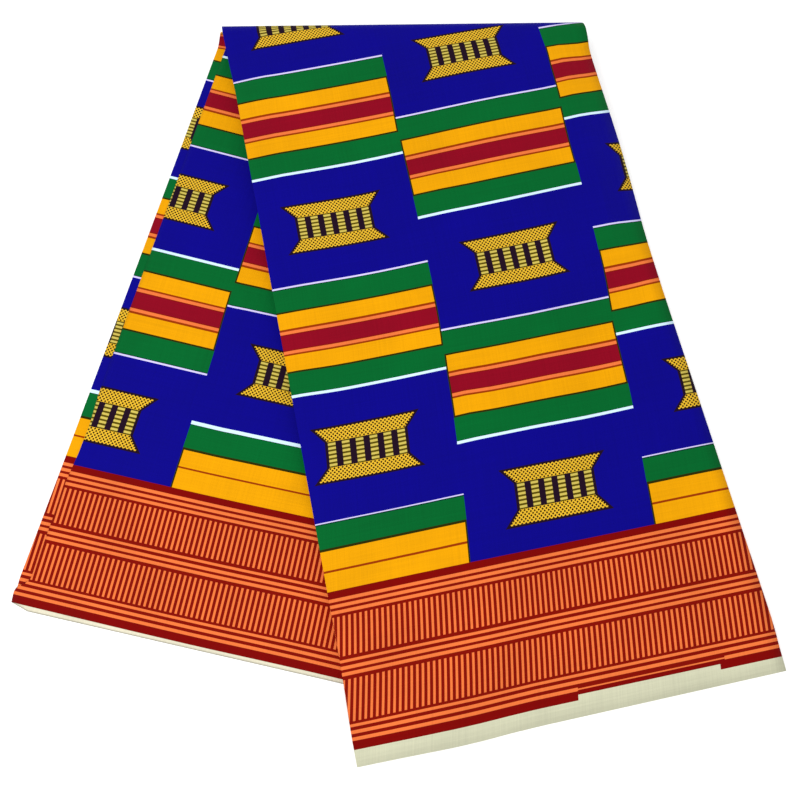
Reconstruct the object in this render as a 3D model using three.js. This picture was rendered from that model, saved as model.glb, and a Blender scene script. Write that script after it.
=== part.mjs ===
// Cut length of wax-print cotton, pleated back and forth into a flat stack of layers,
// with the stack folded over at the top and its two halves fanned apart. It lies flat.
// All sizes in mm, +Z up, the underside of the cloth is Z = 0, the fold is at the +Y end.
import * as THREE from 'three';

// the cloth: 1181 from selvage to selvage, along one half, round the fold and along the other
const STRIP_WIDTH = 321;         // width of one pleat
const SHEET = 1.0;               // thickness of one layer here
const LAYERS = 5;                // layers here, they stand for a stack of seventeen
const LAYER_GAP = 0.4;           // air between two layers
const PITCH = SHEET + LAYER_GAP;
const STACK = LAYERS * SHEET + (LAYERS - 1) * LAYER_GAP;

// plan of the two halves, seen from above: axis of the fold and the four selvage corners
const FOLD_LEFT = [-156.4, 295.2];
const FOLD_RIGHT = [172.5, 299.7];
const FRONT_LEFT = [-25.7, -313.9];
const FRONT_RIGHT = [289.3, -249.1];
const BACK_LEFT = [-289.3, -204.7];
const BACK_RIGHT = [25.3, -272.1];

// the back half slips sideways to the left towards the fold, out from under the front half
const BACK_SLIP = 8.7;
const SLIP_POWER = 1.2;

// the fold: open inside, flattening to a small gap further down
const FOLD_OPENING = 15.6;
const REST_GAP = 2.0;
const OPENING_RUN = 170;         // the opening dies out over about this length
const PILLOW_LEFT = 0.7;         // share of the opening left at the pleat edges, just below the fold
const PILLOW_RIGHT = 0.48;
const PILLOW_RUN = 34;           // over this much of the pleat's width
const PILLOW_START = 22;         // and from this far down, the fold itself is square

// where the front half leaves the back half it stays level, then drops to the table.
// The runs are for cloth that lies close on the back half, and the drop is longer where it is high
const SIDE_LEVEL = 20;
const SIDE_DROP = 62;
const END_LEVEL = 9;
const END_DROP = 46;

// how far each pleat fold or cut edge stands in from the widest outline
const LEFT_IN = { cutEnd: 7.5, pleat23: 0.0, pleat45: 2.0 };
const RIGHT_IN = { pleat12: 1.0, pleat34: 0.0, cutEnd: -2.0 };

// selvage ends of the layers are a little uneven
const END_SCATTER = 1.6;

const INNER_S = [14, 36, 74, 118, 160, 202, 246, 284, 306].map((x) => x / STRIP_WIDTH);
const PLEAT_STEPS = 3;
const BACK_STEPS = 5;
const TURN_STEPS = 9;
const FRONT_AT = [0, 14, 30, 48, 70, 95, 122, 150, 180, 210, 240, 270, 300,
  330, 360, 390, 420, 450, 480, 510, 537, 560, 580, 602];

const smooth = (x) => { const c = Math.min(1, Math.max(0, x)); return c * c * (3 - 2 * c); };
const mix = (a, b, k) => [a[0] + (b[0] - a[0]) * k, a[1] + (b[1] - a[1]) * k];
const span = (a, b) => Math.hypot(b[0] - a[0], b[1] - a[1]);

// distance of p to the right of the line a to b, seen walking from a to b
function beside(p, a, b) {
  const l = span(a, b);
  return ((p[1] - a[1]) * (b[0] - a[0]) - (p[0] - a[0]) * (b[1] - a[1])) / l;
}

// how much of its height a point of the front half still has
function lifted(p, height) {
  const side = (beside(p, FOLD_RIGHT, BACK_RIGHT) - SIDE_LEVEL) / SIDE_DROP;
  const end = (beside(p, BACK_RIGHT, BACK_LEFT) - END_LEVEL) / END_DROP;
  return 1 - smooth((Math.max(side, end) * (STACK + REST_GAP)) / height);
}

// gap between the two halves at a share s across and a distance d from the fold
function opening(s, d) {
  const edge = Math.min(s, 1 - s) * STRIP_WIDTH;
  const least = s < 0.5 ? PILLOW_LEFT : PILLOW_RIGHT;
  const pillow = 1 - (1 - least) * (1 - smooth(edge / PILLOW_RUN)) * smooth(d / PILLOW_START);
  return REST_GAP + (FOLD_OPENING - REST_GAP) * pillow * Math.exp(-((d / OPENING_RUN) ** 1.5));
}

// a point of the folded cloth: s across the pleat, h out from the innermost face,
// half and its place: 'back' and 'front' take 0 at the fold to 1 at the selvage,
// 'turn' takes 0 (back side) to 1 (front side)
function place(s, h, half, k) {
  const axis = mix(FOLD_LEFT, FOLD_RIGHT, s);
  if (half === 'back') {
    const p = mix(axis, mix(BACK_LEFT, BACK_RIGHT, s), k);
    return [p[0] - BACK_SLIP * Math.max(0, 1 - k) ** SLIP_POWER, p[1], STACK - h];
  }
  if (half === 'front') {
    const end = mix(FRONT_LEFT, FRONT_RIGHT, s);
    const p = mix(axis, end, k);
    const high = STACK + opening(s, k * span(axis, end));
    return [p[0], p[1], high * (k > 0 ? lifted(p, high) : 1) + h];
  }
  const gap = opening(s, 0);
  const r = gap / 2 + h;
  const a = Math.PI * (k - 0.5);
  return [axis[0] - BACK_SLIP * (1 - k), axis[1] + r * Math.cos(a), STACK + gap / 2 + r * Math.sin(a)];
}

// cross-section of the pleated stack: pairs of points, one on each face of the sheet
function pleatedSection() {
  const out = [];
  const add = (s, hFace, hBack, layer, sBack = s) => out.push({ s, h: hFace, sb: sBack, hb: hBack, layer });
  const left = [null, LEFT_IN.cutEnd, LEFT_IN.pleat23, LEFT_IN.pleat23, LEFT_IN.pleat45, LEFT_IN.pleat45];
  const right = [null, RIGHT_IN.pleat12, RIGHT_IN.pleat12, RIGHT_IN.pleat34, RIGHT_IN.pleat34, RIGHT_IN.cutEnd];
  const outer = PITCH / 2 + SHEET / 2;
  const inner = PITCH / 2 - SHEET / 2;
  for (let layer = 1; layer <= LAYERS; layer += 1) {
    const mid = SHEET / 2 + (layer - 1) * PITCH;
    const toLeft = layer % 2 === 0;
    const low = mid - SHEET / 2;
    const high = mid + SHEET / 2;
    // the face that starts outermost turns over at every pleat
    const face = toLeft ? low : high;
    const back = toLeft ? high : low;
    if (layer === 1) add(left[1] / STRIP_WIDTH, face, back, layer);
    const row = toLeft ? [...INNER_S].reverse() : INNER_S;
    for (const s of row) add(s, face, back, layer);
    if (layer === LAYERS) {
      add(1 - right[layer] / STRIP_WIDTH, face, back, layer);
      break;
    }
    // half circle to the next layer
    const inset = (toLeft ? left : right)[layer];
    const c = toLeft ? (inset + outer) / STRIP_WIDTH : 1 - (inset + outer) / STRIP_WIDTH;
    const way = toLeft ? -1 : 1;
    const hc = mid + PITCH / 2;
    for (let i = 0; i <= PLEAT_STEPS; i += 1) {
      const a = Math.PI * (i / PLEAT_STEPS - 0.5);
      const so = c + (way * outer * Math.cos(a)) / STRIP_WIDTH;
      const si = c + (way * inner * Math.cos(a)) / STRIP_WIDTH;
      const ho = hc + outer * Math.sin(a);
      const hi = hc + inner * Math.sin(a);
      // the face that runs outside a left pleat runs inside the next right one
      if (toLeft) add(so, ho, hi, layer + 0.5, si);
      else add(si, hi, ho, layer + 0.5, so);
    }
  }
  return out;
}

function stations() {
  const list = [];
  for (let i = 0; i < BACK_STEPS; i += 1) list.push(['back', 1 - i / BACK_STEPS]);
  for (let i = 0; i < TURN_STEPS; i += 1) list.push(['turn', i / TURN_STEPS]);
  const long = span(FOLD_LEFT, FRONT_LEFT);
  for (const d of FRONT_AT) list.push(['front', d / long]);
  list.push(['front', 1]);
  return list;
}

function foldedCloth() {
  const section = pleatedSection();
  const line = stations();
  const n = section.length;
  const m = line.length;
  const verts = [];
  for (let j = 0; j < m; j += 1) {
    const [half, k0] = line[j];
    for (const q of section) {
      let k = k0;
      if (j === 0 || j === m - 1) {
        const run = j === 0 ? 550 : 590;
        k += (END_SCATTER * Math.sin(2.3 * q.layer + 5.1 * q.s + (j ? 1.7 : 0))) / run;
      }
      verts.push(...place(q.s, q.h, half, k), ...place(q.sb, q.hb, half, k));
    }
  }
  const id = (i, j, side) => 2 * (j * n + i) + side;
  const tris = [];
  const quad = (a, b, c, d, flip) => {
    if (flip) tris.push(a, d, b, b, d, c);
    else tris.push(a, c, b, a, d, c);
  };
  for (let j = 0; j + 1 < m; j += 1) {
    for (let i = 0; i + 1 < n; i += 1) {
      const toRight = section[i + 1].s > section[i].s;
      quad(id(i, j, 0), id(i + 1, j, 0), id(i + 1, j + 1, 0), id(i, j + 1, 0), toRight);
      quad(id(i, j, 1), id(i, j + 1, 1), id(i + 1, j + 1, 1), id(i + 1, j, 1), toRight);
    }
    quad(id(0, j, 0), id(0, j + 1, 0), id(0, j + 1, 1), id(0, j, 1), false);
    quad(id(n - 1, j, 0), id(n - 1, j, 1), id(n - 1, j + 1, 1), id(n - 1, j + 1, 0), false);
  }
  for (let i = 0; i + 1 < n; i += 1) {
    quad(id(i, 0, 0), id(i, 0, 1), id(i + 1, 0, 1), id(i + 1, 0, 0), false);
    quad(id(i, m - 1, 0), id(i + 1, m - 1, 0), id(i + 1, m - 1, 1), id(i, m - 1, 1), false);
  }
  const geo = new THREE.BufferGeometry();
  geo.setAttribute('position', new THREE.Float32BufferAttribute(verts, 3));
  geo.setIndex(tris);
  geo.computeBoundingBox();
  const b = geo.boundingBox;
  geo.translate(-(b.min.x + b.max.x) / 2, -(b.min.y + b.max.y) / 2, -b.min.z);
  geo.computeVertexNormals();
  return geo;
}

const group = new THREE.Group();
group.name = 'ankara_fabric';
const cloth = new THREE.Mesh(foldedCloth(), new THREE.MeshStandardMaterial({
  color: 0x2a1a8c, roughness: 0.85, metalness: 0.0, name: 'printed_cotton', side: THREE.FrontSide,
}));
cloth.name = 'folded_cloth';
group.add(cloth);

export default group;
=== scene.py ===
"""Wax-print cotton, pleated into a stack of seventeen layers and folded over, on a white table.

Lengths are in millimetres until they go into the mesh. On the flat cloth, u runs along its length, from the cut end
of the top layer, and v across its width, from the front selvage. On a pleat, x runs from left to right, and s is
its share of the pleat's width. k is the share of a half that has been run, away from the fold.
"""
import math

import bpy
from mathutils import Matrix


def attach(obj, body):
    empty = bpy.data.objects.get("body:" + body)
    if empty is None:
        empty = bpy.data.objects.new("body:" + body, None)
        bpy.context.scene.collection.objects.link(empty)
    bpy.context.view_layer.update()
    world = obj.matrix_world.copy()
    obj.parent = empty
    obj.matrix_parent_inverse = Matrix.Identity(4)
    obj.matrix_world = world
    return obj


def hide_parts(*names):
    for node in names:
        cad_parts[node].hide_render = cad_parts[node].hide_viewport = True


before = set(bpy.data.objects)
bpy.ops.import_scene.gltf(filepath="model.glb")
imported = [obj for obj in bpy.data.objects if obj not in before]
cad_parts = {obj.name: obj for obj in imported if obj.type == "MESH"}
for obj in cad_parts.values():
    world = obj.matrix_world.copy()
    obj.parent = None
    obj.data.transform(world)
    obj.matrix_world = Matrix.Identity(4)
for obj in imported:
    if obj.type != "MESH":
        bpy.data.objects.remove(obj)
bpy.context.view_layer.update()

MM = 0.001
NODE = "folded_cloth"

# the cloth
WIDTH = 1181.0            # selvage to selvage
PLEAT = 321.0             # width of one pleat
INNER_PLEAT = 324.05      # the hidden ones are a little wider
LAYERS = 17
SHEET = 0.26              # thickness
PITCH = 0.37              # from one layer to the next
STACK = (LAYERS - 1) * PITCH + SHEET

# plan of the two halves, as in the solids
FOLD_LEFT = (-156.4, 295.2)
FOLD_RIGHT = (172.5, 299.7)
FRONT_LEFT = (-25.7, -313.9)
FRONT_RIGHT = (289.3, -249.1)
BACK_LEFT = (-289.3, -204.7)
BACK_RIGHT = (25.3, -272.1)
BACK_SLIP = 8.7           # the back half slips to the left towards the fold
SLIP_POWER = 1.2

# how far the front half stands open over the back half
FOLD_OPENING = 15.8       # at the fold
REST_GAP = 2.2            # far from it
OPENING_RUN = 170.0       # how far along it has mostly closed
OPENING_POWER = 1.5
PILLOW_LEFT = 0.68        # share of the opening that the left side keeps
PILLOW_RIGHT = 0.46       # and the right side
PILLOW_RUN = 34.0         # from a side to the full opening
PILLOW_START = 22.0       # from the fold to where the sides are at their least

# the turn of the cloth at the fold
TURN_GAIN = 22.0          # most cloth that an outer layer takes beyond the innermost
GAIN_RUN = 3.6            # how far out it has taken most of that

# the front half is level this far past the back half's side and end, then comes down to the table
SIDE_LEVEL = 20.0
SIDE_DROP = 62.0
END_LEVEL = 9.0
END_DROP = 46.0

# the back half's end, where its layers come down to the table in a slope
BACK_END_RUN = 26.0
BACK_END_START = 0.06     # share of the slope that is cut off
BACK_END_LEAST = 0.02     # share of its height that a layer keeps at least
CORNER_CUT = 4.0          # the back half's left corner is rounded by this much
CORNER_FROM = 12.0        # from here towards the left
CORNER_RUN = 14.0

# a slight unevenness that all layers share: height, then run and phase across and along the table
RIPPLE = (0.35, 41.0, 1.3, 57.0, 0.4)
SLANT_RIPPLE = (0.25, 23.0, 71.0)  # height and the two runs
RIPPLE_START = 1 / 6      # share of the front half where it comes in
RIPPLE_LIFT = 6.0         # height above the table where it is in full

# the camera, 15 degrees off straight down, level with the fold
TILT = math.radians(15.0)
DISTANCE = 589.0
AIM = (5.3, -41.0)
FOCAL_PX = 719.0
FRAME_PX = 800.0
SENSOR = 36.0
CLIP_START = 10.0


def smooth(x):
    x = min(1.0, max(0.0, x))
    return x * x * (3 - 2 * x)


def rise(x, start, run):
    """0 up to start, 1 from start + run on."""
    return smooth((x - start) / run)


def bump(x, size, at, run):
    return size * math.exp(-(((x - at) / run) ** 2))


def mix(a, b, k):
    return (a[0] + (b[0] - a[0]) * k, a[1] + (b[1] - a[1]) * k)


def span(a, b):
    return math.hypot(b[0] - a[0], b[1] - a[1])


def beside(p, a, b):
    """How far p lies to the left of the walk from a to b."""
    return ((p[1] - a[1]) * (b[0] - a[0]) - (p[0] - a[0]) * (b[1] - a[1])) / span(a, b)


def lifted(p, height):
    """Share of that height that the front half keeps at p, where it comes down past the back half."""
    side = (beside(p, FOLD_RIGHT, BACK_RIGHT) - SIDE_LEVEL) / SIDE_DROP
    end = (beside(p, BACK_RIGHT, BACK_LEFT) - END_LEVEL) / END_DROP
    return 1 - smooth(max(side, end) * (STACK + REST_GAP) / height)


def opening(s, d):
    """Gap between the halves, d from the fold."""
    edge = min(s, 1 - s) * PLEAT
    least = PILLOW_LEFT if s < 0.5 else PILLOW_RIGHT
    pillow = 1 - (1 - least) * (1 - smooth(edge / PILLOW_RUN)) * smooth(d / PILLOW_START)
    closing = math.exp(-((max(d, 0) / OPENING_RUN) ** OPENING_POWER))
    return REST_GAP + (FOLD_OPENING - REST_GAP) * pillow * closing


def ripple(x, y):
    high, run_x, phase_x, run_y, phase_y = RIPPLE
    slant_high, slant_x, slant_y = SLANT_RIPPLE
    crossed = high * math.sin(x / run_x + phase_x) * math.sin(y / run_y + phase_y)
    return crossed + slant_high * math.sin(x / slant_x - y / slant_y)


def gain(h):
    """How much longer the way round the fold is at h out from the innermost face."""
    return TURN_GAIN * (1 - math.exp(-h / GAIN_RUN))


def front_run(s):
    return span(mix(FOLD_LEFT, FOLD_RIGHT, s), mix(FRONT_LEFT, FRONT_RIGHT, s))


def back_run(s):
    return span(mix(FOLD_LEFT, FOLD_RIGHT, s), mix(BACK_LEFT, BACK_RIGHT, s))


def place(s, h, half, k):
    """A point of the folded cloth, h out from the innermost face. In the turn, k runs from the back to the front."""
    axis = mix(FOLD_LEFT, FOLD_RIGHT, s)
    if half == "back":
        p = mix(axis, mix(BACK_LEFT, BACK_RIGHT, s), k)
        left = (1 - k) * back_run(s)
        # the inner layers reach further than the outer ones, and come down over their ends
        whole = STACK * smooth(left / BACK_END_RUN + BACK_END_START) if left < BACK_END_RUN else STACK
        slip = BACK_SLIP * max(0.0, 1 - k) ** SLIP_POWER
        return (p[0] - slip, p[1], max(whole - h, BACK_END_LEAST * (STACK - h)))
    if half == "front":
        p = mix(axis, mix(FRONT_LEFT, FRONT_RIGHT, s), k)
        high = STACK + opening(s, k * front_run(s))
        lift = high * (lifted(p, high) if k > 0 else 1)
        ease = smooth(k / RIPPLE_START) * smooth(lift / RIPPLE_LIFT)
        return (p[0], p[1], lift + h + ease * ripple(*p))
    gap = opening(s, 0)
    r = gap / 2 + h
    a = math.pi * (k - 0.5)
    return (axis[0] - BACK_SLIP * (1 - k), axis[1] + r * math.cos(a), STACK + gap / 2 + r * math.sin(a))


def along(s, h, half, k):
    """Cloth from the front selvage."""
    if half == "front":
        return (1 - k) * front_run(s)
    turned = WIDTH - back_run(s) + gain(h)
    if half == "back":
        return turned + k * back_run(s)
    return turned + (front_run(s) - turned) * k


# The print leans off the pleat's edges, and bows a little. The front half's lean, towards the left, by the distance
# from the fold:
LEAN = (25.8, 100.0, 417.0, 2.8)       # most, at the selvage, where it starts, over what run, and its power
FOLD_LEAN = (-1.8, 25.0, 60.0, 60.0)   # size close to the fold, run of its start, where it ends and over what run
FAN = (3.2, 0.4, 40.0)                 # slope across the pleat, the s where it is nothing, run of its start
MIDDLE_LEAN = (2.3, 310.0, 95.0, 60.0)  # size, where it starts, how much sooner at the right, over what run
RIGHT_LEAN = (3.0, 330.0, 90.0)        # most, at the right side, where it starts and over what run
# and the back half's, towards the right, by the distance from the front selvage
BACK_LEAN = (2.3, 893.0, 80.0)         # most, where it starts and over what run
BACK_SLANT = (0.05, 1070.0)            # slope, and where it starts

# place across and along, run across and along, and size of each bow
BOWS = [
    (300, 330, 75, 130, 5.0), (150, 165, 400, 90, 3.5), (85, 418, 62, 85, -2.9), (215, 490, 70, 70, 1.9),
    (215, 560, 60, 28, 1.4), (325, 515, 32, 75, 6.0), (235, 330, 62, 45, -2.6), (325, 335, 25, 40, 2.0),
    (5, 560, 22, 55, 2.2), (5, 285, 25, 35, 1.8), (70, 208, 50, 28, -1.9), (145, 430, 25, 30, 1.4),
    (134, 248, 22, 28, 1.5), (280, 381, 20, 18, -1.8),
]
BACK_BOWS = [(60, 985, 900, 42, -1.5), (130, 925, 22, 35, -1.9), (105, 1020, 30, 30, 1.0), (215, 1140, 80, 70, -1.0)]
BOWS_FROM = 20.0                       # beyond the front border, the bows come in over this much cloth
BOWS_START = 1 / 20                    # and from the fold, over this share of the front half
BORDER_TILT = (60.0, 150.0)            # from this far across, the front border sits 1 mm further out in each run
TILT_EASE = (0.8, 78.0, 42.0)          # share that it loses, where that starts and over what run
BACK_PRINT = (720.0, 342.0)            # along the back half, where the print starts to shift and over what run
BACK_SHIFT = (-2.7, 9.2)               # shift at that start, and what it gains
BACK_TURN = (0.08, -0.07, 150.0)       # slope across at that start, what it gains, and how far across
BACK_STEP = (0.5, 1050.0, 30.0)        # one more shift, where it starts and over what run


def lean(half, s, d, v):
    """Sideways shift of the print, towards the left on the front half and the right on the back half."""
    if half == "front":
        most, start, run, power = LEAN
        shift = most * (max(0.0, d - start) / run) ** power
        size, start, end, run = FOLD_LEAN
        shift += size * smooth(d / start) * (1 - rise(d, end, run))
        size, middle, run = FAN
        shift += size * (s - middle) * smooth(d / run)
        size, start, sooner, run = MIDDLE_LEAN
        shift += size * rise(d, start - sooner * s, run)
        most, start, run = RIGHT_LEAN
        return shift + most * s * rise(d, start, run)
    if half == "back":
        most, start, run = BACK_LEAN
        slope, slant_start = BACK_SLANT
        return -most * rise(v, start, run) - slope * max(0.0, v - slant_start)
    return 0.0


def swell(x, v, table):
    return sum(bump(x, 1.0, at_x, run_x) * bump(v, size, at_v, run_v) for at_x, at_v, run_x, run_v, size in table)


def bow(half, k, x, v):
    """How far the print sits from its even place, away from the front selvage."""
    if half == "front":
        inside = rise(v, BORDER, BOWS_FROM)
        start, run = BORDER_TILT
        loss, ease_start, ease_run = TILT_EASE
        tilt = -max(0.0, x - start) / run * (1 - loss * rise(v, ease_start, ease_run))
        return inside * smooth(k / BOWS_START) * swell(x, v, BOWS) + (1 - inside) * tilt
    start, run = BACK_PRINT
    t = min(1.0, max(0.0, (v - start) / run))
    slope, slope_gain, across = BACK_TURN
    step, step_start, step_run = BACK_STEP
    shift = BACK_SHIFT[0] + BACK_SHIFT[1] * t + (slope + slope_gain * t) * min(x, across)
    shift += swell(x, v, BACK_BOWS) + step * rise(v, step_start, step_run)
    return shift if half == "back" else shift * (1 - k)


# how far the edges of the pleats stand in: a start, then each change with its place along the cloth and its run
BOTTOM_END = (7.3, [(0.9, 1077, 70), (-10.4, 1157, 18)])   # the bottom layer's cut end
BOTTOM_BUMP = (2.5, 1043, 22)
LAST_FOLD = (0.4, [(2.2, 0, 75), (-1.2, 560, 40)])         # the fold under the top layer
TOP_END = (-0.4, [(-2.0, 0, 40), (1.45, 440, 80)])         # the top layer's cut end
TOP_BUMP = (-1.45, 405, 55)
# the other pleats differ a little from fold to fold and along the cloth: mean, size, step and phase of the first
# change, then size, run and step of the second
LEFT_INNER = (3.9, 0.9, 2.1, 0.0, 0.3, 83.0, 1.0)
RIGHT_INNER = (0.4, 1.2, 1.7, 0.6, 0.3, 71.0, 2.0)
# On the front half all of them are hidden under the last fold. On the back half they stand out by this much more,
# but for one fold that stands in and one that shows as a narrow strip.
LEFT_OUT = 1.5
LEFT_SET = {2: 9.6, 4: -0.7}
LEFT_CHANGE = (590.0, 60.0)            # where the left edges change from the front half's to the back half's


def edge_line(line, v):
    start, changes = line
    return start + sum(change * rise(v, at, run) for change, at, run in changes)


def inner_edge(wander, fold, v):
    mean, size, step, phase, size_along, run, step_along = wander
    return mean + size * math.sin(step * fold + phase) + size_along * math.sin(v / run + step_along * fold)


def left_edge(fold, v):
    """How far a left pleat, or the cut end, stands in from the widest one."""
    if fold == 1:
        return edge_line(BOTTOM_END, v) + bump(v, *BOTTOM_BUMP)
    if fold == LAYERS - 1:
        return edge_line(LAST_FOLD, v)
    inner = inner_edge(LEFT_INNER, fold, v)
    base = LEFT_SET.get(fold, inner - LEFT_OUT)
    return base + (inner - base) * (1 - rise(v, *LEFT_CHANGE))


def right_edge(fold, v):
    """How far a right pleat, or the cut end, stands in from the pleat's width."""
    if fold == LAYERS:
        return edge_line(TOP_END, v) + bump(v, *TOP_BUMP)
    return inner_edge(RIGHT_INNER, fold, v)


# points of the mesh across a pleat: the first and the last lie inside every edge
INNER = [12, 20, 30, 41, 54, 72, 92, 114, 138, 160, 183, 207, 229, 249, 267, 281, 293, 303, 312]
BEND_STEPS = 3            # round the edge of a pleat
END_ROWS = 14             # close rows at the back half's end
END_STEP = 0.0035         # shares of the back half between them
BACK_ROWS = 20            # rows on the rest of it, from this share on
BACK_ROWS_FROM = 0.95
TURN_ROWS = 12
FIRST_STEP = 9.0          # between rows on the front half, at the fold
STEP_GROWTH = 0.5         # each step is longer than the one before by this much
LAST_STEP = 13.0          # up to this
LEAST_STEP = 6.0          # the last row is at least this far from the selvage's own


def stations():
    rows = [("back", 1 - END_STEP * i) for i in range(END_ROWS)]
    rows += [("back", BACK_ROWS_FROM - BACK_ROWS_FROM * i / BACK_ROWS) for i in range(BACK_ROWS)]
    rows += [("turn", i / TURN_ROWS) for i in range(TURN_ROWS)]
    long = span(FOLD_LEFT, FRONT_LEFT)
    d, step = 0.0, FIRST_STEP
    while d < long - LEAST_STEP:
        rows.append(("front", d / long))
        d += step
        step = min(LAST_STEP, step + STEP_GROWTH)
    rows.append(("front", 1.0))
    return rows


def flat_u(layer, x):
    """Place along the cloth's length of a point x from the left of a layer."""
    turn = LAYERS - layer
    if turn == 0:
        return PLEAT - x
    wide = INNER_PLEAT / PLEAT
    if turn % 2 == 1:
        return PLEAT + (turn - 1) * INNER_PLEAT + x * wide
    if turn == LAYERS - 1:
        return PLEAT + (turn - 1) * INNER_PLEAT + PLEAT - x
    return PLEAT + turn * INNER_PLEAT - x * wide


def section(v_left, v_right):
    """Pairs of points, one on each face of the sheet: x and h of both, place along the flat cloth, and layer."""
    out = []
    mid_r, out_r, in_r = PITCH / 2, PITCH / 2 + SHEET / 2, PITCH / 2 - SHEET / 2
    for layer in range(1, LAYERS + 1):
        mid = SHEET / 2 + (layer - 1) * PITCH
        to_left = layer % 2 == 0
        low, high = mid - SHEET / 2, mid + SHEET / 2
        face, back = (low, high) if to_left else (high, low)
        if layer == 1:
            x = left_edge(1, v_left)
            out.append((x, face, x, back, flat_u(layer, x), layer))
        for x in (INNER[::-1] if to_left else INNER):
            out.append((x, face, x, back, flat_u(layer, x), layer))
        if layer == LAYERS:
            x = PLEAT - right_edge(layer, v_right)
            out.append((x, face, x, back, flat_u(layer, x), layer))
            break
        edge = left_edge(layer, v_left) + out_r if to_left else PLEAT - right_edge(layer, v_right) - out_r
        way = -1 if to_left else 1
        mid_h = mid + mid_r
        for i in range(BEND_STEPS + 1):
            k = i / BEND_STEPS
            a = math.pi * (k - 0.5)
            outer = (edge + way * out_r * math.cos(a), mid_h + out_r * math.sin(a))
            inner = (edge + way * in_r * math.cos(a), mid_h + in_r * math.sin(a))
            u = flat_u(layer, edge) * (1 - k) + flat_u(layer + 1, edge) * k
            first, second = (outer, inner) if to_left else (inner, outer)
            out.append((*first, *second, u, layer + k))
    return out


def cloth_points(rows):
    """The mesh's points, the place of each on the flat cloth, and the last row's section."""
    verts, flat = [], []
    for half, k in rows:
        line = section(along(0, 0, half, k), along(1, 0, half, k))
        for x0, h0, x1, h1, u, layer in line:
            for x, h in ((x0, h0), (x1, h1)):
                s = x / PLEAT
                kk = k
                if half == "back":
                    corner = CORNER_CUT * smooth((CORNER_FROM - x) / CORNER_RUN)
                    kk = k * (1 - (gain(h) + corner) / back_run(s))
                px, py, pz = place(s, h, half, kk)
                verts.append((px * MM, py * MM, pz * MM))
                v = along(s, h, half, kk)
                # the print's lean turns over with the cloth, from layer to layer
                way = math.cos(math.pi * (LAYERS - layer))
                flat.append((u - way * lean(half, s, front_run(s) * kk, v), v - bow(half, kk, x, v)))
    return verts, flat, line


def cloth_faces(line, m):
    """Triangles of both faces of the sheet and its four edges, for m rows of points like line."""
    n = len(line)
    faces = []

    def vid(i, j, side):
        return 2 * (j * n + i) + side

    def quad(a, b, c, d, other):
        # every layer is cut along the same diagonal, so that none comes through the next
        faces.extend(((a, b, d), (b, c, d)) if other else ((a, b, c), (a, c, d)))

    for j in range(m - 1):
        for i in range(n - 1):
            right = line[i + 1][0] > line[i][0]
            quad(vid(i, j, 0), vid(i, j + 1, 0), vid(i + 1, j + 1, 0), vid(i + 1, j, 0), right)
            quad(vid(i, j, 1), vid(i + 1, j, 1), vid(i + 1, j + 1, 1), vid(i, j + 1, 1), right)
        quad(vid(0, j, 0), vid(0, j, 1), vid(0, j + 1, 1), vid(0, j + 1, 0), False)
        quad(vid(n - 1, j, 0), vid(n - 1, j + 1, 0), vid(n - 1, j + 1, 1), vid(n - 1, j, 1), False)
    for i in range(n - 1):
        quad(vid(i, 0, 0), vid(i + 1, 0, 0), vid(i + 1, 0, 1), vid(i, 0, 1), False)
        quad(vid(i, m - 1, 0), vid(i, m - 1, 1), vid(i + 1, m - 1, 1), vid(i + 1, m - 1, 0), False)
    return faces


def build_cloth():
    rows = stations()
    verts, flat, line = cloth_points(rows)
    mesh = bpy.data.meshes.new("cloth")
    mesh.from_pydata(verts, [], cloth_faces(line, len(rows)))
    mesh.validate()
    uv = mesh.uv_layers.new(name="FlatCloth")
    for loop in mesh.loops:
        u, v = flat[loop.vertex_index]
        uv.data[loop.index].uv = (u * MM, v * MM)
    for poly in mesh.polygons:
        poly.use_smooth = True
    mesh.update()
    ob = bpy.data.objects.new("printed_cloth", mesh)
    bpy.context.collection.objects.link(ob)
    return ob


# the print on the flat cloth
COLUMN = 145.3            # width of one column
COLUMN_AT = 186.1         # where one odd column starts
REPEAT = 198.7            # one block and one gap, along v
ODD_AT = 322.5            # centre of a block in the odd columns
EVEN_AT = 259.6           # and in the even ones
BORDER = 122.4            # inner edge of a border from its selvage
BACK_AT = 1182.0          # where the back border is measured from
TURN_AT = 715.0           # what lies beyond this is on the back half
COMBS = [(31.5, 60.0), (76.2, 104.0)]
COMB_PITCH = 4.08
TOOTH = 0.44              # share of the pitch
CUT_NEAR = 53.0           # blocks this close to a border are cut by it
SIDE_LINE = 1.3           # dark line down each side of a block, but not beside its greens
GREEN_RUN = 22.0          # from the end of a block to the inner edge of its green
SLIP = (6.2, 112.0)       # along the front selvage the unprinted strip is wider between these
SLIP_WIDE = 22.0          # from the selvage to the slip's inner edge
SLIP_LINE = 18.0          # its last stripes are beyond this
SLIP_STEP = 3.7           # and start this much sooner

# the spool figure: half height and half width at the tips, half of both at the neck, its posts and their dashes
TALL, WIDE = 21.0, 40.1
NECK_TALL, NECK_WIDE = 10.2, 30.7
POST_PITCH, POST_GAP = 11.05, 5.05
DASH_PITCH, DASH = 3.3, 1.8
HATCH, HATCH_LINE = 3.2, 1.25
RIM = 1.6                 # dark line round it
RIM_SIDE = 1.4            # the slanting sides have it this many times as wide, measured across
FIGURE_IN = (-2.4, 2.3, 0.0, 1.6)  # its place off the column's centre: odd front, odd back, even front, even back

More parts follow.
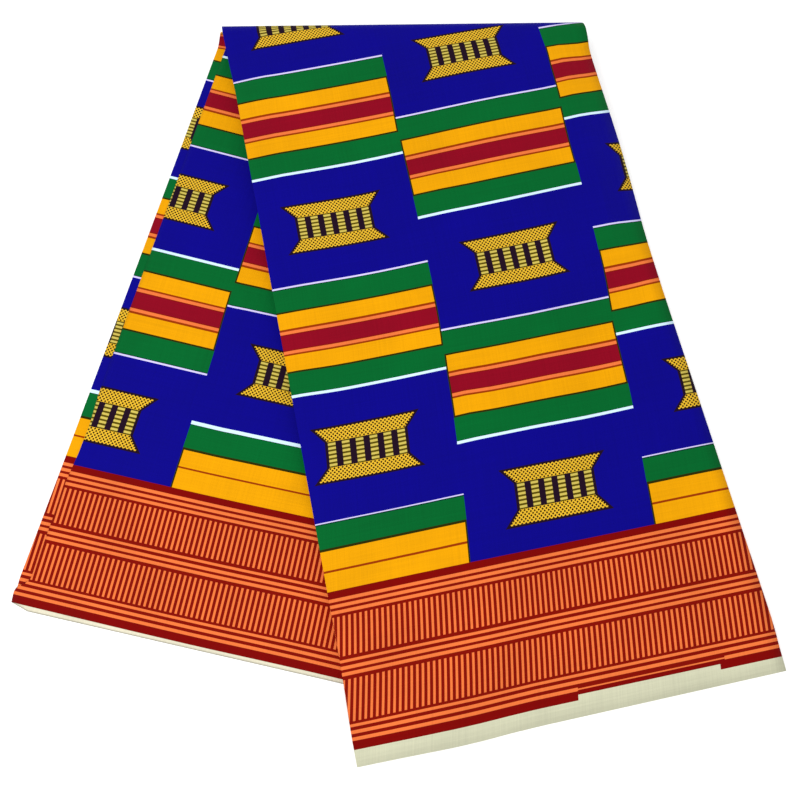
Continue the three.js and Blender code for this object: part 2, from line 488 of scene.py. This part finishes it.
BLUE = (0.002, 0.0005, 0.208)
GREEN = (0.0, 0.112, 0.0205)
DEEP_GREEN = (0.0, 0.035, 0.02)
YELLOW = (0.735, 0.315, 0.0)
CRIMSON = (0.228, 0.001, 0.0115)
BAND = (0.181, 0.0005, 0.0)
RED = (0.20, 0.003, 0.0)
RUST = (0.28, 0.03, 0.0)
ORANGE = (0.75, 0.165, 0.04)
DARK = (0.02, 0.02, 0.0)
LILAC = (0.60, 0.55, 0.85)
ICE = (0.60, 0.78, 0.90)
SELVAGE = (0.56, 0.56, 0.40)
BACK_SELVAGE = (0.68, 0.64, 0.49)
GOLD = (0.72, 0.43, 0.025)
HATCH_DARK = (0.018, 0.006, 0.001)
DASH_PALE = (0.55, 0.44, 0.085)
OLIVE = (0.085, 0.06, 0.0)
BLACK = (0.012, 0.003, 0.012)

# Widths and colours of stripes. A block's run towards the front selvage, a cut block's towards the border that cuts
# it, and a border's and the slip's inwards from the selvage.
BLOCK_STRIPES = [
    (1.3, LILAC), (0.9, DEEP_GREEN), (19.3, GREEN), (1.7, DARK), (14.3, YELLOW), (1.7, RUST), (2.6, ORANGE),
    (0.8, RED), (13.4, CRIMSON), (0.8, RED), (2.6, ORANGE), (1.7, RUST), (14.1, YELLOW), (1.7, DARK),
    (18.2, GREEN), (0.7, DEEP_GREEN), (2.3, ICE),
]
BLOCK = sum(w for w, _ in BLOCK_STRIPES)
FRONT_CUT = [
    (1.4, BLUE), (1.2, LILAC), (0.9, DEEP_GREEN), (18.0, GREEN), (1.6, DARK), (13.6, YELLOW), (1.5, RUST),
    (80, YELLOW),
]
BACK_CUT = [(2.4, ICE), (0.6, DEEP_GREEN), (18.6, GREEN), (1.6, DARK), (13.6, YELLOW), (1.5, RUST), (80, YELLOW)]
BORDER_STRIPES = [
    (11.8, SELVAGE), (6.1, BAND), (2.2, ORANGE), (2.6, RED), (2.3, ORANGE), (2.3, RED), (2.2, ORANGE),
    (32.8, RED), (2.4, ORANGE), (2.1, RED), (2.2, ORANGE), (2.3, RED), (2.3, ORANGE),
    (32.2, RED), (2.3, ORANGE), (2.2, RED), (2.1, ORANGE), (2.2, RED), (2.4, ORANGE), (5.4, BAND),
]
SELVAGE_WIDE = BORDER_STRIPES[0][0]
SLIP_STRIPES = [(15.7, SELVAGE), (3.1, BAND), (0.9, ORANGE), (2.3, RED)]


class Val:
    """A number that travels through shader nodes."""

    def __init__(self, net, sock):
        self.net, self.sock = net, sock

    def op(self, kind, *rest):
        node = self.net.nodes.new("ShaderNodeMath")
        node.operation = kind
        for i, x in enumerate((self,) + rest):
            if isinstance(x, Val):
                self.net.links.new(x.sock, node.inputs[i])
            else:
                node.inputs[i].default_value = float(x)
        return Val(self.net, node.outputs[0])

    def __add__(self, x): return self.op("ADD", x)
    def __sub__(self, x): return self.op("SUBTRACT", x)
    def __mul__(self, x): return self.op("MULTIPLY", x)
    def __truediv__(self, x): return self.op("DIVIDE", x)
    def __lt__(self, x): return self.op("LESS_THAN", x)
    def __gt__(self, x): return self.op("GREATER_THAN", x)
    def abs(self): return self.op("ABSOLUTE")
    def floor(self): return self.op("FLOOR")
    def round(self): return self.op("ROUND")
    def mod(self, x): return self.op("FLOORED_MODULO", x)
    def min(self, x): return self.op("MINIMUM", x)
    def max(self, x): return self.op("MAXIMUM", x)
    def flip(self): return (self * -1.0) + 1.0

    def from_middle(self, pitch):
        """Distance from the middle of the pitch that it is in."""
        return (self.mod(pitch) - pitch / 2).abs()


def blend(net, mask, a, b):
    """b where mask is 1, else a. a and b are colours or colour sockets."""
    node = net.nodes.new("ShaderNodeMix")
    node.data_type = "RGBA"
    net.links.new(mask.sock, node.inputs[0])
    for at, x in ((6, a), (7, b)):
        if isinstance(x, tuple):
            node.inputs[at].default_value = (*x, 1.0)
        else:
            net.links.new(x, node.inputs[at])
    return node.outputs[2]


def stripes(net, at, table):
    """Colour of a place along a table of (width, colour)."""
    total = sum(w for w, _ in table)
    node = net.nodes.new("ShaderNodeValToRGB")
    ramp = node.color_ramp
    ramp.interpolation = "CONSTANT"
    here = 0.0
    for i, (w, colour) in enumerate(table):
        # a new ramp has two stops
        stop = ramp.elements[i] if i < 2 else ramp.elements.new(here / total)
        stop.position = here / total
        stop.color = (*colour, 1.0)
        here += w
    net.links.new((at / total).sock, node.inputs[0])
    return node.outputs[0]


def block_colour(net, v, cu, dv, even):
    """The blue ground and its striped blocks. cu and dv are the distances from the middle of a column and a block."""
    end = BLOCK / 2
    from_end, from_start = (dv * -1.0) + end, dv + end
    colour = blend(net, dv.abs() < end, BLUE, stripes(net, from_end, BLOCK_STRIPES))

    # the blocks that the borders cut have a single line in their yellow
    near_front = (v < BORDER + CUT_NEAR) * even.flip()
    near_back = (v > BACK_AT - BORDER - CUT_NEAR) * even
    colour = blend(net, near_front * (dv < end), colour, stripes(net, from_end, FRONT_CUT))
    colour = blend(net, near_back * (dv > -end), colour, stripes(net, from_start, BACK_CUT))

    lined = (dv.abs() < end - GREEN_RUN).max(near_front * (dv < end - GREEN_RUN))
    lined = lined.max(near_back * (dv > GREEN_RUN - end))
    return blend(net, (cu.abs() > COLUMN / 2 - SIDE_LINE) * lined, colour, DARK)


def add_figure(net, colour, cu, dv, even, on_back):
    """The spool figure in the gap between two blocks, a being the distance from the gap's middle."""
    odd_front, odd_back, even_front, even_back = FIGURE_IN
    off = (on_back * (odd_back - odd_front) + odd_front) * even.flip()
    off = off + (on_back * (even_back - even_front) + even_front) * even
    x = cu - off
    a = (dv.abs() * -1.0) + REPEAT / 2
    reach = (a - NECK_TALL).max(0.0) * ((WIDE - NECK_WIDE) / (TALL - NECK_TALL)) + NECK_WIDE
    body = (a < TALL) * (x.abs() < reach)
    rim = (a < TALL + RIM) * (x.abs() < reach + RIM * RIM_SIDE)
    holes = ((x + a).from_middle(HATCH) > HATCH_LINE / 2) * ((x - a).from_middle(HATCH) > HATCH_LINE / 2)
    bars = blend(net, holes, GOLD, HATCH_DARK)
    posts = blend(net, a.from_middle(DASH_PITCH) < DASH / 2, OLIVE, DASH_PALE)
    posts = blend(net, (x + POST_PITCH / 2).from_middle(POST_PITCH) < POST_GAP / 2, posts, BLACK)
    colour = blend(net, rim, colour, BLACK)
    return blend(net, body, colour, blend(net, a < NECK_TALL, bars, posts))


def print_colour(net, u, v):
    """The whole print as a colour socket, from millimetres on the flat cloth."""
    col = (u - COLUMN_AT) / COLUMN
    index = col.floor()
    even = index.mod(2.0)
    cu = (col - index - 0.5) * COLUMN
    centre = even * (EVEN_AT - ODD_AT) + ODD_AT
    row = ((v - centre) / REPEAT).round()
    dv = v - centre - row * REPEAT
    on_back = v > TURN_AT

    colour = block_colour(net, v, cu, dv, even)
    colour = add_figure(net, colour, cu, dv, even, on_back)

    # borders
    b = v.min((v * -1.0) + BACK_AT)
    edge = stripes(net, b, BORDER_STRIPES)
    tooth = (u / COMB_PITCH).mod(1.0) < TOOTH
    for low, high in COMBS:
        edge = blend(net, (b > low) * (b < high) * tooth, edge, ORANGE)
    edge = blend(net, on_back * (b < SELVAGE_WIDE), edge, BACK_SELVAGE)
    slipped = (v < SLIP_WIDE) * ((u + (v > SLIP_LINE) * SLIP_STEP) > SLIP[0]) * (u < SLIP[1])
    edge = blend(net, slipped, edge, stripes(net, v, SLIP_STRIPES))
    return blend(net, b < BORDER, colour, edge)


# the cotton itself
THREAD = 0.34             # pitch of the plain weave
CROWN = 0.4               # share of a thread's height that follows the bend of its own crossing
WEFT_SHIFT = 0.37         # sets the weft's noise apart from the warp's
MEAN_HEIGHT = 0.4
SLUB_FINE, SLUB_LONG = 900, 14    # 1/m, across and along the slubs
CLOUD, CLOUD_DETAIL = 21, 3.0     # 1/m
NOISE_DETAIL = 2.0
# how much each changes the colour's value; the weave's height adds painted shade, darker in its hollows and lighter
# on its crowns
THREAD_SHADE, SLUB_SHADE, CLOUD_SHADE, WEAVE_PAINTED_SHADE = 0.10, 0.12, 0.22, 0.10
ROUGHNESS, HEIGHT_ROUGH, CLOUD_ROUGH = 0.74, -0.10, 0.10
SPECULAR = 0.05
SHEEN, SHEEN_ROUGHNESS = 0.015, 0.4
BUMP, BUMP_HEIGHT = 0.35, 0.06
SLUB_RELIEF = 1.2


def weave(net, u, v):
    """Height of the plain weave's threads, 0 to 1, and a number that differs from thread to thread."""
    across, up = u / THREAD, v / THREAD
    iu, iv = across.floor(), up.floor()
    warp = (across - iu - 0.5).abs() * -2.0 + 1.0
    weft = (up - iv - 0.5).abs() * -2.0 + 1.0
    over = (iu + iv).mod(2.0)
    height = over * warp * (weft * CROWN + (1 - CROWN)) + over.flip() * weft * (warp * CROWN + (1 - CROWN))
    thread = over * iu + over.flip() * (iv + WEFT_SHIFT)
    node = net.nodes.new("ShaderNodeTexWhiteNoise")
    node.noise_dimensions = "1D"
    net.links.new(thread.sock, node.inputs["W"])
    return height, Val(net, node.outputs["Value"])


def noise(net, uv, scale_u, scale_v, detail=NOISE_DETAIL):
    """Noise on the flat cloth, 0 to 1, with its own scale along and across, in 1/m."""
    node = net.nodes.new("ShaderNodeMapping")
    node.inputs["Scale"].default_value = (scale_u, scale_v, 1.0)
    net.links.new(uv, node.inputs["Vector"])
    tex = net.nodes.new("ShaderNodeTexNoise")
    tex.noise_dimensions = "2D"
    tex.inputs["Scale"].default_value = 1.0
    tex.inputs["Detail"].default_value = detail
    net.links.new(node.outputs[0], tex.inputs["Vector"])
    return Val(net, tex.outputs[0])


def cloth_material():
    mat = bpy.data.materials.new("printed_cotton")
    mat.use_nodes = True
    net = mat.node_tree
    shader = net.nodes["Principled BSDF"]
    uv = net.nodes.new("ShaderNodeUVMap")
    uv.uv_map = "FlatCloth"
    part = net.nodes.new("ShaderNodeSeparateXYZ")
    net.links.new(uv.outputs[0], part.inputs[0])
    u = Val(net, part.outputs[0]) * (1 / MM)
    v = Val(net, part.outputs[1]) * (1 / MM)

    height, thread = weave(net, u, v)
    slub = noise(net, uv.outputs[0], SLUB_FINE, SLUB_LONG) + noise(net, uv.outputs[0], SLUB_LONG, SLUB_FINE)
    cloud = noise(net, uv.outputs[0], CLOUD, CLOUD, CLOUD_DETAIL)
    value = (thread - 0.5) * THREAD_SHADE + (slub - 1.0) * SLUB_SHADE + (cloud - 0.5) * CLOUD_SHADE
    # painted shade: the weave's hollows darker and its crowns lighter, by the threads' height
    value = value + (height - MEAN_HEIGHT) * WEAVE_PAINTED_SHADE + 1.0
    tint = net.nodes.new("ShaderNodeHueSaturation")
    net.links.new(value.sock, tint.inputs["Value"])
    net.links.new(print_colour(net, u, v), tint.inputs["Color"])
    net.links.new(tint.outputs[0], shader.inputs["Base Color"])

    rough = (height * HEIGHT_ROUGH) + (cloud * CLOUD_ROUGH) + ROUGHNESS
    net.links.new(rough.sock, shader.inputs["Roughness"])
    shader.inputs["Specular IOR Level"].default_value = SPECULAR
    shader.inputs["Sheen Weight"].default_value = SHEEN
    shader.inputs["Sheen Roughness"].default_value = SHEEN_ROUGHNESS

    relief = height + slub * SLUB_RELIEF
    bumps = net.nodes.new("ShaderNodeBump")
    bumps.inputs["Strength"].default_value = BUMP
    bumps.inputs["Distance"].default_value = BUMP_HEIGHT * MM
    net.links.new(relief.sock, bumps.inputs["Height"])
    net.links.new(bumps.outputs[0], shader.inputs["Normal"])
    return mat


# the stage, in metres
TABLE_HALF = 3.0
TABLE_DROP = 0.0004       # just below the cloth
TABLE_WHITE, TABLE_ROUGHNESS, TABLE_SPECULAR = 0.93, 0.9, 0.1
TABLE_GLOW = 0.12         # keeps the table white beside the cloth
SKY = 0.85
LAMP_AT = (-0.5, -0.35, 1.4)
LAMP_SIZE = (1.6, 1.2)
LAMP_POWER = 14


def stage():
    floor_mesh = bpy.data.meshes.new("table")
    r = TABLE_HALF
    floor_mesh.from_pydata([(-r, -r, 0), (r, -r, 0), (r, r, 0), (-r, r, 0)], [], [(0, 1, 2, 3)])
    floor = bpy.data.objects.new("table", floor_mesh)
    bpy.context.collection.objects.link(floor)
    mat = bpy.data.materials.new("table_white")
    mat.use_nodes = True
    shader = mat.node_tree.nodes["Principled BSDF"]
    shader.inputs["Base Color"].default_value = (TABLE_WHITE, TABLE_WHITE, TABLE_WHITE, 1)
    shader.inputs["Roughness"].default_value = TABLE_ROUGHNESS
    shader.inputs["Specular IOR Level"].default_value = TABLE_SPECULAR
    shader.inputs["Emission Color"].default_value = (1, 1, 1, 1)
    shader.inputs["Emission Strength"].default_value = TABLE_GLOW
    floor_mesh.materials.append(mat)
    floor.location.z = -TABLE_DROP

    world = bpy.context.scene.world or bpy.data.worlds.new("soft")
    bpy.context.scene.world = world
    world.use_nodes = True
    background = world.node_tree.nodes["Background"]
    background.inputs[0].default_value = (1, 1, 1, 1)
    background.inputs[1].default_value = SKY

    lamp = bpy.data.lights.new("softbox", "AREA")
    lamp.shape = "RECTANGLE"
    lamp.size, lamp.size_y = LAMP_SIZE
    lamp.energy = LAMP_POWER
    lamp_ob = bpy.data.objects.new("softbox", lamp)
    bpy.context.collection.objects.link(lamp_ob)
    lamp_ob.location = LAMP_AT
    x, y, z = LAMP_AT
    lamp_ob.rotation_euler = (-math.atan2(y, z), math.atan2(x, z), 0)


def camera():
    cam = bpy.data.cameras.new("camera")
    cam.sensor_width = SENSOR
    cam.lens = SENSOR * FOCAL_PX / FRAME_PX
    cam.clip_start = CLIP_START * MM
    ob = bpy.data.objects.new("camera", cam)
    bpy.context.collection.objects.link(ob)
    ob.location = (AIM[0] * MM, (AIM[1] - DISTANCE * math.sin(TILT)) * MM, DISTANCE * math.cos(TILT) * MM)
    ob.rotation_euler = (TILT, 0, 0)
    bpy.context.scene.camera = ob


camera()
stage()
cloth = build_cloth()
cloth.data.materials.append(cloth_material())
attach(cloth, "root")
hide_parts(NODE)
flat_u(1, 0) * MM

bpy.context.scene.view_settings.view_transform = "Standard"
